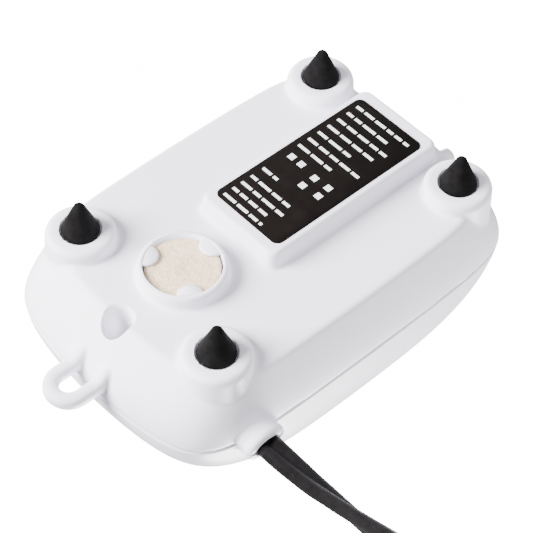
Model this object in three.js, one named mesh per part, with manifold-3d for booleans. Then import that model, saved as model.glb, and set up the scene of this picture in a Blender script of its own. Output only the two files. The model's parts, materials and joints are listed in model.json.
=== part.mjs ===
// A small mains aquarium air pump: a two-part housing on four cone feet, with the
// electromagnetic diaphragm pump inside it, and its twin mains cord with a two-pin plug.
// Millimetres, +Z up, feet down. +X points to the air outlet, +Y to the side the cord leaves.
import * as THREE from "three";
import { mergeVertices } from "three/addons/utils/BufferGeometryUtils.js";
import Module from "manifold-3d";

const wasm = await Module();
wasm.setup();

// ---------------------------------------------------------------- driving dimensions
const gap = 0.3; // clearance between neighbouring pieces
const wall = 2; // housing wall
const bodyX = -1; // middle of the housing along its length
const halfLength = 48; // housing at the parting plane
const halfWidth = 31.5;
const partingZ = 24;
const floorZ = 10.3; // underside of the housing's floor
const topZ = 50;
const squareness = 8; // how square the plan outline is: 2 is an ellipse
const endBow = 0.09; // how much the ends and the sides bow outwards
const sideBow = 0.03;
const sideInset = 3.4; // how far the lower wall leans in between parting plane and floor
const endInset = 8.2;
const creaseRadius = 1.8; // rounding where the lower wall meets the floor

const footX = 33; // half the spacing of the feet
const footY = 20.4;
const bossFaceZ = 7.3;
const bossRadius = 7.2;
const footRadius = 3.9;
const footTip = 1.3;
const footFlat = 0.9; // radius of the worn flat that stands on the table
const stemRadius = 2.2;

const plinth = { x0: -10.5, x1: 37.5, halfY: 11.3, faceZ: 6.1, draft: 0.5 };
const label = { x0: -7.4, x1: 33.9, halfY: 9.35, thick: 0.25, corner: 1.6 };

const filterX = -23.8;
const ringRadius = 9.1;
const ringFaceZ = 7.1;
const feltRadius = 7.7;
const feltFaceZ = 7.9;
const feltThick = 1.8;

const recessX = -40.3; // screw recess at the loop end
const recessRadius = 3.35;
const screwSeatZ = 22.5;

const loop = { x: -53.1, outer: 5.4, inner: 2.3, z0: 19.5, z1: 22.5, slotEnd: -48.6 };

const cordX = -32; // where the cord crosses the parting plane
const cordWidth = 5.6;
const cordThick = 2.9;
const collar = { halfX: 4.7, halfZ: 3.2, endY: 34.3, rootY: 27 };

const outletZ = 31; // height of the air outlet
const nozzle = {
  rootX: 38,
  hoseX: 41,
  shoulderX: 48.4,
  tipX: 55,
  bore: 1.2, // radii
  barb: 1.9,
  neck: 2.9,
  shoulder: 3.9,
};

const armX = -5; // plane of the swing arm at rest
const pivotY = -18.5;
const diaphragmY = -5.6;
const motorZ = 27; // middle height of the motor and of the pump head
const core = { halfX: 17, poleY: 9.5, backY: 27, leg: 6, centre: 10, yoke: 5.5, halfZ: 6 };
const head = { x0: 4.4, x1: 13.4, half: 10 };

// The frame's origin is under the middle of the pump, so everything is moved by this much.
const originX = (loop.x - loop.outer + nozzle.tipX) / 2;
const originY = (collar.endY - halfWidth) / 2;

// ---------------------------------------------------------------- materials
const paint = (color, roughness, metalness = 0) =>
  new THREE.MeshStandardMaterial({ color, roughness, metalness });
const whitePlastic = paint(0xe9e9ee, 0.35);
const rubber = paint(0x2a2b2d, 0.8);
const felt = paint(0xddcfbd, 1);
const labelInk = paint(0x231f20, 0.45);
const steel = paint(0xb4b6b8, 0.35, 1);
const castIron = paint(0x55585b, 0.5, 1);
const copper = paint(0xb0653a, 0.35, 1);
const nylon = paint(0xd9d7cf, 0.5);
const tape = paint(0xd8b64a, 0.5);
const silicone = paint(0xcfd4d2, 0.4);
const ferrite = paint(0x3c3c40, 0.55);
const blackPvc = paint(0x1b1b1d, 0.45);
const brass = paint(0xc9b06a, 0.3, 1);

// ---------------------------------------------------------------- shared shapes
const pump = new THREE.Group();
pump.position.set(-originX, -originY, 0);

/** A closed three.js geometry as a solid for joining and cutting. */
function solid(geometry) {
  const bare = geometry.clone();
  bare.deleteAttribute("normal");
  bare.deleteAttribute("uv");
  const merged = mergeVertices(bare, 1e-4);
  return new wasm.Manifold(
    new wasm.Mesh({
      numProp: 3,
      vertProperties: Float32Array.from(merged.attributes.position.array),
      triVerts: Uint32Array.from(merged.index.array),
    }),
  );
}

/** A solid's surface as a three.js geometry. */
function surface(body) {
  const mesh = body.getMesh();
  const geometry = new THREE.BufferGeometry();
  geometry.setAttribute("position", new THREE.BufferAttribute(mesh.vertProperties, 3));
  geometry.setIndex(new THREE.BufferAttribute(mesh.triVerts, 1));
  geometry.computeVertexNormals();
  return geometry;
}

/** Adds a named piece to the pump, from a geometry or from a solid. */
function piece(name, shape, material) {
  const geometry = shape.isBufferGeometry ? shape : surface(shape);
  const mesh = new THREE.Mesh(geometry, material);
  mesh.name = name;
  pump.add(mesh);
  return mesh;
}

const join = (...parts) => parts.reduce((whole, part) => whole.add(part));
const cut = (whole, ...parts) => parts.reduce((left, part) => left.subtract(part), whole);

/** A box between two corners. */
function block(x0, x1, y0, y1, z0, z1) {
  const box = new THREE.BoxGeometry(x1 - x0, y1 - y0, z1 - z0);
  return box.translate((x0 + x1) / 2, (y0 + y1) / 2, (z0 + z1) / 2);
}

/** A turned shape about +Z: profile points are [radius, z], going up the outside. */
function turned(profile, sides = 20) {
  const points = profile.map(([radius, z]) => new THREE.Vector2(radius, z));
  return new THREE.LatheGeometry(points, sides).rotateX(Math.PI / 2);
}

const rod = (radius, z0, z1, sides = 20) =>
  turned([[0, z0], [radius, z0], [radius, z1], [0, z1]], sides);

const tube = (inner, outer, z0, z1, sides = 16) =>
  turned([[inner, z0], [outer, z0], [outer, z1], [inner, z1], [inner, z0]], sides);

/** Turns a shape made along +Z so that it lies along +X or along +Y. */
const alongX = (geometry) => geometry.rotateY(Math.PI / 2);
const alongY = (geometry) => geometry.rotateX(-Math.PI / 2);

/** A rounded rectangle centred on the origin. */
function roundedShape(halfX, halfY, radius) {
  const shape = new THREE.Shape();
  shape.absarc(halfX - radius, halfY - radius, radius, 0, Math.PI / 2);
  shape.absarc(radius - halfX, halfY - radius, radius, Math.PI / 2, Math.PI);
  shape.absarc(radius - halfX, radius - halfY, radius, Math.PI, 1.5 * Math.PI);
  shape.absarc(halfX - radius, radius - halfY, radius, 1.5 * Math.PI, 2 * Math.PI);
  shape.closePath();
  return shape;
}

/** A flat shape given thickness between two heights. */
function slab(shape, z0, z1, curveSegments = 4) {
  const options = { depth: z1 - z0, bevelEnabled: false, curveSegments };
  return new THREE.ExtrudeGeometry(shape, options).translate(0, 0, z0);
}

/** A pan-head screw about +Z, head down at z = 0, with a cross slot in its head. */
function screw(headRadius, headHeight, shankRadius, length) {
  const body = turned(
    [
      [0, 0],
      [headRadius * 0.7, 0],
      [headRadius, headHeight * 0.5],
      [headRadius, headHeight],
      [shankRadius, headHeight],
      [shankRadius, length - shankRadius],
      [0, length],
    ],
    8,
  );
  const slotWidth = headRadius * 0.25;
  const slotDepth = headHeight * 0.5;
  const slotReach = headRadius * 0.6;
  const slotX = block(-slotReach, slotReach, -slotWidth / 2, slotWidth / 2, -1, slotDepth);
  const slotY = block(-slotWidth / 2, slotWidth / 2, -slotReach, slotReach, -1, slotDepth);
  return surface(cut(solid(body), join(solid(slotX), solid(slotY))));
}

// ---------------------------------------------------------------- housing outline
/** A signed power, with rounding errors near zero taken as zero. */
function power(value, exponent) {
  return Math.abs(value) < 1e-6 ? 0 : Math.sign(value) * Math.abs(value) ** exponent;
}

/** A point of the housing's plan outline: a rounded rectangle whose sides bow outwards. */
function outlinePoint(angle, halfX, halfY, square) {
  const c = power(Math.cos(angle), 2 / square);
  const s = power(Math.sin(angle), 2 / square);
  return [bodyX + halfX * c * (1 - endBow * s * s), halfY * s * (1 - sideBow * c * c)];
}

/** Closed shape whose sections, at rising levels 0 to 1, are housing outlines. */
function loft(levels, section) {
  const sides = 40;
  const geometry = new THREE.CylinderGeometry(1, 1, 1, sides, levels).rotateX(Math.PI / 2);
  const position = geometry.attributes.position;
  for (let i = 0; i < position.count; i++) {
    const onSide = Math.hypot(position.getX(i), position.getY(i)) > 0.5 ? 1 : 0;
    const angle = Math.atan2(position.getY(i), position.getX(i));
    const { halfX, halfY, z, square } = section(position.getZ(i) + 0.5);
    const [x, y] = outlinePoint(angle, halfX, halfY, square);
    position.setXYZ(i, bodyX + (x - bodyX) * onSide, y * onSide, z);
  }
  return geometry;
}

/** The lower half's outside, or its inside when `inset` is the wall. */
function lowerBowl(inset, topOfBowl) {
  const bottom = floorZ + inset;
  const depth = partingZ - floorZ;
  return loft(7, (level) => {
    // the levels crowd towards the rounded crease at the bottom
    const z = bottom + (topOfBowl - bottom) * level ** 1.8;
    const under = Math.min(1, Math.max(0, (partingZ - z + inset) / depth));
    const lean = under ** 1.5;
    const intoCrease = Math.max(0, (under * depth - depth + creaseRadius) / creaseRadius);
    const round = creaseRadius * (1 - Math.sqrt(Math.max(0, 1 - intoCrease ** 2)));
    return {
      halfX: halfLength - inset - endInset * lean - round,
      halfY: halfWidth - inset - sideInset * lean - round,
      z,
      square: squareness,
    };
  });
}

/** The domed upper half: rounder along its length than across. */
function upperDome(inset, baseZ) {
  const height = topZ - inset - partingZ;
  const start = Math.max(0, (baseZ - partingZ) / height);
  return loft(9, (level) => {
    const rise = start + (0.992 - start) * Math.sin((level * Math.PI) / 2);
    return {
      halfX: (halfLength - inset) * Math.sqrt(1 - rise ** 2),
      halfY: (halfWidth - inset) * (1 - rise ** 3) ** (1 / 3),
      z: level === 0 ? baseZ : partingZ + height * rise,
      square: squareness - (squareness - 3) * rise,
    };
  });
}

/** Straight-sided slice of the housing outline, `inset` in from the parting line. */
function outlineSlice(inset, z0, z1) {
  return loft(1, (level) => ({
    halfX: halfLength - inset,
    halfY: halfWidth - inset,
    z: z0 + (z1 - z0) * level,
    square: squareness,
  }));
}

const corners = [[-1, -1], [1, -1], [1, 1], [-1, 1]];
const moved = (geometry, x, y, z = 0) => solid(geometry.translate(x, y, z));

// ---------------------------------------------------------------- housing
const oval = (halfX, halfZ) => new THREE.Shape().absellipse(0, 0, halfX, halfZ, 0, 2 * Math.PI);

/** Oval rod through the housing wall where the cord leaves, along +Y. */
function cordPassage(halfX, halfZ, y0, y1) {
  return moved(alongY(slab(oval(halfX, halfZ), y0, y1, 10)), cordX, 0, partingZ);
}

const collarSleeve = () => cordPassage(collar.halfX, collar.halfZ, collar.rootY, collar.endY);
const cordHole = () =>
  cordPassage(cordWidth / 2 + gap, cordThick / 2 + gap, collar.rootY - 5, collar.endY + 1);

/** One foot boss: a drum with a rounded rim, its skirt running down into the wall. */
function footBoss(x, y) {
  const rim = 1.5;
  const profile = [[0, bossFaceZ], [bossRadius - rim, bossFaceZ]];
  for (const step of [30, 60, 90]) {
    const turn = THREE.MathUtils.degToRad(step);
    const out = bossRadius - rim + rim * Math.sin(turn);
    profile.push([out, bossFaceZ + rim - rim * Math.cos(turn)]);
  }
  profile.push([bossRadius + 0.3, 15], [0, 15]);
  return moved(turned(profile), x, y);
}

/** The hole in a boss for a foot: a shallow seat for the cone and a deep one for its stem. */
function footSocket() {
  const seat = footRadius + gap;
  const stem = stemRadius + gap;
  const seatTop = bossFaceZ + 0.8;
  return turned([[0, 5], [seat, 5], [seat, seatTop], [stem, seatTop], [stem, 13.2], [0, 13.2]]);
}

/** The raised plinth that carries the label, with drafted sides. */
function labelPlinth() {
  const halfX = (plinth.x1 - plinth.x0) / 2;
  const edge = 0.8;
  const face = roundedShape(halfX - plinth.draft - edge, plinth.halfY - plinth.draft - edge, 2);
  const options = { depth: 5, bevelEnabled: true, bevelThickness: edge, bevelSize: edge };
  const top = new THREE.ExtrudeGeometry(face, { ...options, bevelSegments: 2, curveSegments: 3 });
  return moved(top, (plinth.x0 + plinth.x1) / 2, 0, plinth.faceZ + edge);
}

/** The raised ring around the filter, with its seat and three retaining tabs. */
function filterRing() {
  const ring = turned([
    [0, ringFaceZ],
    [ringRadius - 0.9, ringFaceZ],
    [ringRadius - 0.25, ringFaceZ + 0.35],
    [ringRadius, ringFaceZ + 1],
    [ringRadius + 0.3, floorZ + 1],
    [0, floorZ + 1],
  ], 30);
  const seat = rod(feltRadius + gap, ringFaceZ - 1, feltFaceZ + feltThick + gap, 30);
  return [solid(ring.translate(filterX, 0, 0)), solid(seat.translate(filterX, 0, 0))];
}

/** The three rounded tabs that hold the felt in its seat. */
function filterTabs() {
  const tabRadius = 2.2;
  const tabTop = feltFaceZ - gap;
  const rim = moved(rod(ringRadius - 0.9, ringFaceZ, tabTop, 30), filterX, 0);
  const tabs = [0, 120, 240].map((degrees) => {
    const turn = THREE.MathUtils.degToRad(degrees);
    const out = feltRadius + 0.1;
    const tab = rod(tabRadius, ringFaceZ + 0.05, tabTop, 16);
    return moved(tab, filterX + out * Math.cos(turn), out * Math.sin(turn));
  });
  return join(...tabs).intersect(rim);
}

/** Holes in the floor under the felt, where the air is drawn in. */
function inletHoles() {
  const holes = [moved(rod(1.1, floorZ - 2, floorZ + 4, 8), filterX, 0)];
  for (let i = 0; i < 6; i++) {
    const turn = (i * Math.PI) / 3;
    const hole = rod(1.1, floorZ - 2, floorZ + 4, 8);
    holes.push(moved(hole, filterX + 4 * Math.cos(turn), 4 * Math.sin(turn)));
  }
  return holes;
}

/** The U-shaped hang loop, with its slot reaching the wall. */
function hangLoop() {
  const arm = (radius, endX) => {
    const shape = new THREE.Shape();
    shape.absarc(loop.x, 0, radius, Math.PI / 2, 1.5 * Math.PI);
    shape.lineTo(endX, -radius);
    shape.lineTo(endX, radius);
    shape.closePath();
    return shape;
  };
  const edge = 0.5;
  const outline = arm(loop.outer - edge, loop.slotEnd + 3);
  const options = { bevelEnabled: true, bevelThickness: edge, bevelSize: edge, bevelSegments: 1 };
  const depth = loop.z1 - loop.z0 - 2 * edge;
  const body = new THREE.ExtrudeGeometry(outline, { ...options, depth, curveSegments: 10 });
  const slot = slab(arm(loop.inner, loop.slotEnd), loop.z0 - 1, loop.z1 + 1, 8);
  return cut(moved(body, 0, 0, loop.z0 + edge), solid(slot));
}

const coreScrewX = [armX - core.halfX + 3, armX + core.halfX - 3];
const coreScrewY = core.backY - core.yoke / 2;
const clampScrewX = [cordX - 5.4, cordX + 5.4];
const clampY = 22;
const bracketScrewX = [armX - 9, armX + 9];

/** Everything moulded onto the inside of the lower shell's floor. */
function lowerPosts() {
  const floor = floorZ + 1;
  const posts = [
    moved(tube(recessRadius - 0.1, recessRadius + 1.6, floor, screwSeatZ + 2), recessX, 0),
    moved(rod(recessRadius + 1, screwSeatZ, screwSeatZ + 2), recessX, 0),
  ];
  for (const x of coreScrewX) {
    posts.push(moved(rod(3, floor, motorZ - core.halfZ - gap, 10), x, coreScrewY));
  }
  for (const x of clampScrewX) {
    posts.push(moved(rod(2.4, floor, partingZ + 1, 10), x, clampY));
  }
  const saddleTop = partingZ - cordThick / 2 - gap;
  posts.push(solid(block(cordX - 4, cordX + 4, clampY - 2.5, clampY + 2.5, floor, saddleTop)));
  return join(...posts).intersect(solid(lowerBowl(0.6, partingZ + 6)));
}

/** Holes for the screws that go into the lower shell's posts. */
function lowerScrewHoles() {
  const hole = (z0, z1, x, y) => moved(rod(1.5, z0, z1, 8), x, y);
  return [
    ...coreScrewX.map((x) => hole(13, 25, x, coreScrewY)),
    ...clampScrewX.map((x) => hole(13, 30, x, clampY)),
    ...bracketScrewX.map((x) => hole(floorZ + 0.5, 16, x, pivotY)),
    moved(rod(1.8, screwSeatZ - 1, screwSeatZ + 4, 10), recessX, 0),
  ];
}

/** The lip that stands up inside the upper shell's edge. */
function matingLip() {
  const lipTop = partingZ + 1.4;
  const hollow = solid(outlineSlice(3.4, 20, lipTop + 1));
  const low = cut(solid(outlineSlice(1.5, 20.5, partingZ - gap / 2)), hollow);
  const high = solid(outlineSlice(wall + 3 * gap, partingZ - 1, lipTop));
  return join(low, cut(high, hollow));
}

function lowerShell() {
  const edge = partingZ - gap / 2;
  const [ring, seat] = filterRing();
  const outside = join(
    solid(lowerBowl(0, edge)),
    ...corners.map(([sx, sy]) => footBoss(sx * footX, sy * footY)),
    labelPlinth(),
    ring,
    hangLoop(),
  );
  const halves = solid(block(-80, 80, -60, 60, -10, edge));
  const shell = join(
    cut(outside, solid(lowerBowl(wall, edge + 5))),
    collarSleeve().intersect(halves),
  );
  const plinthPocket = block(plinth.x0 + 3, plinth.x1 - 4, -8.5, 8.5, plinth.faceZ + 2, floorZ + 4);
  const bossFill = corners.map(([sx, sy]) =>
    moved(rod(4.2, bossFaceZ + 1, 14.5, 16), sx * footX, sy * footY),
  );
  const hooks = [-12, 12].map((y) => solid(block(41.3, 42.4, y - 3.5, y + 3.5, 19, 27)));
  const hookRoots = [-12, 12].map((y) => solid(block(41.3, 43.4, y - 3.5, y + 3.5, 18, 21)));
  const solidParts = join(
    shell,
    lowerPosts(),
    ...bossFill,
    ...hooks,
    ...hookRoots,
    matingLip(),
  );
  const sockets = corners.map(([sx, sy]) => moved(footSocket(), sx * footX, sy * footY));
  const recess = moved(rod(recessRadius, 0, screwSeatZ), recessX, 0);
  return cut(
    solidParts,
    seat,
    solid(plinthPocket),
    ...sockets,
    ...inletHoles(),
    ...lowerScrewHoles(),
    recess,
    cordHole(),
  ).add(filterTabs());
}

/** The domed cover, with its screw post, its half of the collar and the outlet hole. */
function upperShell() {
  const edge = partingZ + gap / 2;
  const above = solid(block(-80, 80, -60, 60, edge, 90));
  const dome = solid(upperDome(0, edge));
  const rebate = solid(outlineSlice(wall, partingZ - 1, partingZ + 2));
  const inner = join(solid(upperDome(wall, partingZ - 1)), rebate);
  const post = moved(rod(3.2, screwSeatZ + 2 + gap, 42, 16), recessX, 0).intersect(dome);
  const shell = join(cut(dome, inner), collarSleeve().intersect(above), post);
  const postHole = moved(rod(1.7, screwSeatZ, screwSeatZ + 13, 12), recessX, 0);
  const outletHole = solid(alongX(rod(nozzle.neck + gap, 38, 50)).translate(0, 0, outletZ));
  const lipRoom = cordPassage(collar.halfX + 1, collar.halfZ + 1, collar.rootY - 2, collar.rootY + 1.9);
  return cut(shell, postHole, outletHole, cordHole(), lipRoom);
}

piece("lower_shell", lowerShell(), whitePlastic);
piece("upper_shell", upperShell(), whitePlastic);

const housingScrew = piece("housing_screw", screw(2.7, 1.7, 1.45, 12.5), steel);
housingScrew.position.set(recessX, 0, screwSeatZ - gap - 1.7);

/** A cone foot with a rounded tip, and a barbed stem that is pressed into its boss. */
function coneFoot() {
  const seatTop = bossFaceZ + 0.8 - gap;
  const flare = 0.35;
  return turned([
    [0, 0],
    [footFlat, 0],
    [footTip, 0.35],
    [footTip + 0.35, 1],
    [footRadius - flare - 0.35, bossFaceZ - 1.2],
    [footRadius, bossFaceZ - 0.1],
    [footRadius, seatTop],
    [stemRadius - 0.4, seatTop],
    [stemRadius - 0.4, 10.6],
    [stemRadius, 11],
    [stemRadius - 0.6, 12.8],
    [0, 12.8],
  ], 16);
}

corners.forEach(([sx, sy], i) => {
  piece(`foot_${i + 1}`, coneFoot(), rubber).position.set(sx * footX, sy * footY, 0);
});

const feltDisc = rod(feltRadius, feltFaceZ, feltFaceZ + feltThick, 30);
piece("filter_felt", feltDisc, felt).position.x = filterX;

const labelHalfX = (label.x1 - label.x0) / 2;
const labelZ = plinth.faceZ - gap - label.thick;
const labelPlate = slab(
  roundedShape(labelHalfX, label.halfY, label.corner),
  labelZ,
  labelZ + label.thick,
);
piece("rating_label", labelPlate, labelInk).position.x = (label.x0 + label.x1) / 2;

// ---------------------------------------------------------------- cord entry
const clampBottom = partingZ + cordThick / 2 + gap;
const clampPlate = cut(
  solid(block(cordX - 7.4, cordX + 7.4, clampY - 2.5, clampY + 2.5, clampBottom, clampBottom + 2.5)),
  ...clampScrewX.map((x) => moved(rod(1.7, clampBottom - 1, clampBottom + 4, 12), x, clampY)),
);
piece("cord_clamp", clampPlate, nylon);
clampScrewX.forEach((x, i) => {
  const clampScrew = piece(`clamp_screw_${i + 1}`, screw(2.3, 1.5, 1.2, 12), steel);
  clampScrew.rotation.x = Math.PI;
  clampScrew.position.set(x, clampY, clampBottom + 2.5 + gap + 1.5);
});

/** The twin cord's section: two round cores side by side. */
function twinSection(halfWidthX, halfWidthY) {
  const shape = new THREE.Shape();
  shape.absellipse(0, 0, halfWidthX, halfWidthY, 0, 2 * Math.PI);
  return shape;
}

const innerCordY = 18;
const innerCord = alongY(
  slab(twinSection(cordWidth / 2, cordThick / 2), innerCordY, collar.endY, 5),
);
piece("cord_inner", innerCord, blackPvc).position.set(cordX, 0, partingZ);

/** A round lead along a smooth line through a few points. */
function lead(points, radius, steps, sides = 8) {
  const path = new THREE.CatmullRomCurve3(points.map((p) => new THREE.Vector3(...p)));
  const section = new THREE.Shape();
  section.absarc(0, 0, radius, 0, 2 * Math.PI);
  const options = { steps, bevelEnabled: false, extrudePath: path, curveSegments: sides / 2 };
  return new THREE.ExtrudeGeometry(section, options);
}

const sleeveY = 9;
[-1, 1].forEach((side, i) => {
  const x = cordX + side * 1.7;
  const spliceSleeve = alongY(rod(1.3, sleeveY, innerCordY - 1.2, 10));
  piece(`splice_sleeve_${i + 1}`, spliceSleeve, nylon).position.set(x, 0, partingZ);
  const y = 9 - 4 * i; // the two leads lie side by side along the floor
  const leadPoints = [
    [x, sleeveY - 3 * gap, partingZ],
    [x, 6.5 - 2 * i, 20.5],
    [x + 3, y - 2, 16.5],
    [armX - 15, y + 0.5, 14.3],
    [armX - 3, y + 6, 14.3],
  ];
  piece(`lead_wire_${i + 1}`, lead(leadPoints, 0.6, 12, 6), blackPvc);
});

// ---------------------------------------------------------------- electromagnet
/** The E-shaped stack of iron laminations, poles towards -Y. */
function laminatedCore() {
  const shape = new THREE.Shape();
  const { halfX, leg, centre, poleY, backY, yoke } = core;
  const outline = [
    [-halfX, poleY], [leg - halfX, poleY], [leg - halfX, backY - yoke], [-centre / 2, backY - yoke],
    [-centre / 2, poleY], [centre / 2, poleY], [centre / 2, backY - yoke], [halfX - leg, backY - yoke],
    [halfX - leg, poleY], [halfX, poleY], [halfX, backY], [-halfX, backY],
  ];
  shape.setFromPoints(outline.map(([x, y]) => new THREE.Vector2(armX + x, y)));
  const stack = solid(slab(shape, motorZ - core.halfZ, motorZ + core.halfZ));
  const holes = coreScrewX.map((x) => moved(rod(1.8, 0, 50, 12), x, coreScrewY));
  return cut(stack, ...holes);
}

piece("laminated_core", laminatedCore(), castIron);
coreScrewX.forEach((x, i) => {
  const coreScrew = piece(`core_screw_${i + 1}`, screw(2.7, 1.8, 1.3, 19), steel);
  coreScrew.rotation.x = Math.PI;
  coreScrew.position.set(x, coreScrewY, motorZ + core.halfZ + gap + 1.8);
});

const spool = { y0: core.poleY + 0.6, y1: core.backY - core.yoke - gap, flange: 1, wall: 0.8 };
spool.holeX = core.centre / 2 + gap;
spool.holeZ = core.halfZ + gap;
spool.flangeX = core.halfX - core.leg - 0.4;
spool.flangeZ = spool.holeZ + spool.flangeX - spool.holeX;

/** A square sleeve around the centre leg, between two places along Y. */
function sleeve(innerX, innerZ, outerX, outerZ, y0, y1, radius = 0.8) {
  const outer = alongY(slab(roundedShape(outerX, outerZ, radius), y0, y1, 2));
  const inner = alongY(slab(roundedShape(innerX, innerZ, 0.3), y0 - 1, y1 + 1, 1));
  return cut(moved(outer, armX, 0, motorZ), moved(inner, armX, 0, motorZ));
}

const { holeX, holeZ, flangeX, flangeZ } = spool;
const bobbin = join(
  sleeve(holeX, holeZ, holeX + spool.wall, holeZ + spool.wall, spool.y0, spool.y1),
  sleeve(holeX, holeZ, flangeX, flangeZ, spool.y0, spool.y0 + spool.flange),
  sleeve(holeX, holeZ, flangeX, flangeZ, spool.y1 - spool.flange, spool.y1),
);
piece("bobbin", bobbin, nylon);

const wound = { y0: spool.y0 + spool.flange + gap, y1: spool.y1 - spool.flange - gap };
wound.inner = spool.wall + gap;
wound.outX = flangeX - 1.3;
wound.outZ = flangeZ - 1.3;
const winding = sleeve(
  holeX + wound.inner, holeZ + wound.inner, wound.outX, wound.outZ, wound.y0, wound.y1, 2.5,
);
piece("winding", winding, copper);
const around = (clear, corner, y0, y1) => {
  const shape = roundedShape(wound.outX + clear, wound.outZ + clear, corner);
  return moved(alongY(slab(shape, y0, y1, 3)), armX, 0, motorZ);
};
const wrap = cut(
  around(0.9, 3, wound.y0, wound.y1),
  around(gap, 2.7, wound.y0 - 5, wound.y1 + 5),
);
piece("winding_tape", wrap, tape);

// ---------------------------------------------------------------- swing arm
const eyeRadius = 2;
const armHalfZ = 5;
const bushOuter = 4;
const cupInner = bushOuter + gap;
const cupOuter = 6;
const armTop = motorZ + armHalfZ;
const armBottom = motorZ - armHalfZ;
const diaphragmX = armX + 2.4;

/** The lever: an eye at the pivot, a flat bar, and a cradle for the magnet at its free end. */
function swingArm() {
  const eye = moved(rod(eyeRadius, armBottom - 1, armTop + 1, 16), armX, pivotY);
  const bar = solid(block(armX - 1, armX + 1, pivotY, 3, armBottom, armTop));
  const cradle = solid(block(armX - 7.4, armX + 7.4, 2.5, 4.1, armBottom - 2, armTop + 2));
  const screwHole = alongX(rod(1.3, armX - 3, armX + 3, 12));
  return cut(join(eye, bar, cradle), moved(screwHole, 0, diaphragmY, motorZ));
}

piece("swing_arm", swingArm(), nylon);
piece("magnet", block(armX - 7, armX + 7, 4.1 + gap, 8.2, motorZ - 6, motorZ + 6), ferrite);

const armSlot = (halfX, z0, z1) => solid(block(armX - halfX, armX + halfX, pivotY, pivotY + 9, z0, z1));
const bush = cut(
  moved(tube(eyeRadius + gap, bushOuter, armBottom, armTop, 20), armX, pivotY),
  armSlot(1.4, 0, 60),
);
piece("pivot_bush", bush, rubber);

/** The post that grips the rubber bush, on a foot screwed to the floor. */
function pivotBracket() {
  const base = floorZ + wall + gap;
  const foot = solid(block(armX - 12, armX + 12, pivotY - 4, pivotY + 4, base, base + 2));
  const pedestal = moved(rod(cupOuter, base, armBottom - gap, 20), armX, pivotY);
  const cup = moved(rod(cupOuter, base, armTop, 20), armX, pivotY);
  const bore = moved(rod(cupInner, armBottom - 1.5, 60, 20), armX, pivotY);
  const holes = bracketScrewX.map((x) => moved(rod(1.6, 5, 30, 12), x, pivotY));
  return cut(join(foot, pedestal, cup), bore, armSlot(2.2, armBottom - 1.5, 60), ...holes);
}

piece("pivot_bracket", pivotBracket(), nylon);
bracketScrewX.forEach((x, i) => {
  const bracketScrew = piece(`bracket_screw_${i + 1}`, screw(2.4, 1.4, 1.2, 4.6), steel);
  bracketScrew.rotation.x = Math.PI;
  bracketScrew.position.set(x, pivotY, floorZ + wall + 2 + 2 * gap + 1.4);
});

// ---------------------------------------------------------------- diaphragm
/** Turned about the diaphragm's axis, which runs along +X through the arm. */
const aboutDrive = (profile, sides = 20) =>
  alongX(turned(profile, sides)).translate(0, diaphragmY, motorZ);

const rimOuter = 6.4;
const cupWall = 0.8;
const cup = {
  x0: diaphragmX,
  x1: head.x0 - gap,
  outer: rimOuter + gap + cupWall,
  waist: 4.9,
};
const diaphragm = aboutDrive([
  [1.4, cup.x0],
  [cup.waist, cup.x0],
  [cup.waist + 1.4, cup.x0 - 0.9],
  [cup.outer, cup.x0 + 1.2],
  [cup.outer, cup.x1],
  [cup.outer - cupWall, cup.x1],
  [cup.outer - cupWall, cup.x0 + 1.9],
  [cup.waist + 1.5, cup.x0 + 0.1],
  [cup.waist + 0.2, cup.x0 + 1],
  [1.4, cup.x0 + 1],
  [1.4, cup.x0],
]);
piece("diaphragm", diaphragm, rubber);
const disc = aboutDrive([
  [1.4, armX + 1.2], [4.6, armX + 1.2], [4.6, armX + 2.1], [1.4, armX + 2.1], [1.4, armX + 1.2],
]);
piece("diaphragm_disc", disc, steel);
const driveScrew = piece("diaphragm_screw", screw(2.2, 1.2, 1, 7), steel);
driveScrew.rotation.y = Math.PI / 2;
driveScrew.position.set(armX - 1 - gap - 1.2, diaphragmY, motorZ);

// ---------------------------------------------------------------- pump head
const portZ = [motorZ - 4, motorZ + 4]; // inlet below, outlet above
const headY0 = diaphragmY - head.half;
const headY1 = diaphragmY + head.half;
const headScrewAt = corners.map(([sy, sz]) => [diaphragmY + sy * 7.9, motorZ + sz * 7.9]);
const headHole = ([y, z], radius) =>
  solid(alongX(rod(radius, -10, 60, 8)).translate(0, y, z));
const port = (z, radius) =>
  solid(alongX(rod(radius, -10, 60, 12)).translate(0, diaphragmY, z));

/** A square plate of the pump head's stack, between two places along X. */
function headPlate(x0, x1, ...cuts) {
  const shape = roundedShape(head.half, head.half, 2);
  const plate = alongX(slab(shape, x0, x1, 3)).translate(0, diaphragmY, motorZ);
  return cut(solid(plate), ...headScrewAt.map((at) => headHole(at, 1.3)), ...cuts);
}

const chamber = solid(alongX(rod(4.6, cup.x0 + 3, head.x1 + 1, 24)).translate(0, diaphragmY, motorZ));
const flapRoom = solid(block(
  head.x1 - 2, head.x1 + 1, diaphragmY - 4, diaphragmY + 4, motorZ - 8, motorZ + 8,
));
const rim = solid(aboutDrive([
  [0, cup.x0 + 4], [rimOuter, cup.x0 + 4], [rimOuter, head.x0 + 1], [0, head.x0 + 1],
]));
const pumpHead = cut(join(headPlate(head.x0, head.x1), rim), chamber, flapRoom);
piece("pump_head", pumpHead, nylon);

const plate = { x0: head.x1 + gap, x1: head.x1 + gap + 2 };
const sealFace = { x0: plate.x1 + gap, x1: plate.x1 + gap + 0.8 };
const cover = { x0: sealFace.x1 + gap, x1: sealFace.x1 + gap + 6 };
piece("valve_plate", headPlate(plate.x0, plate.x1, ...portZ.map((z) => port(z, 1.4))), nylon);

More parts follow.
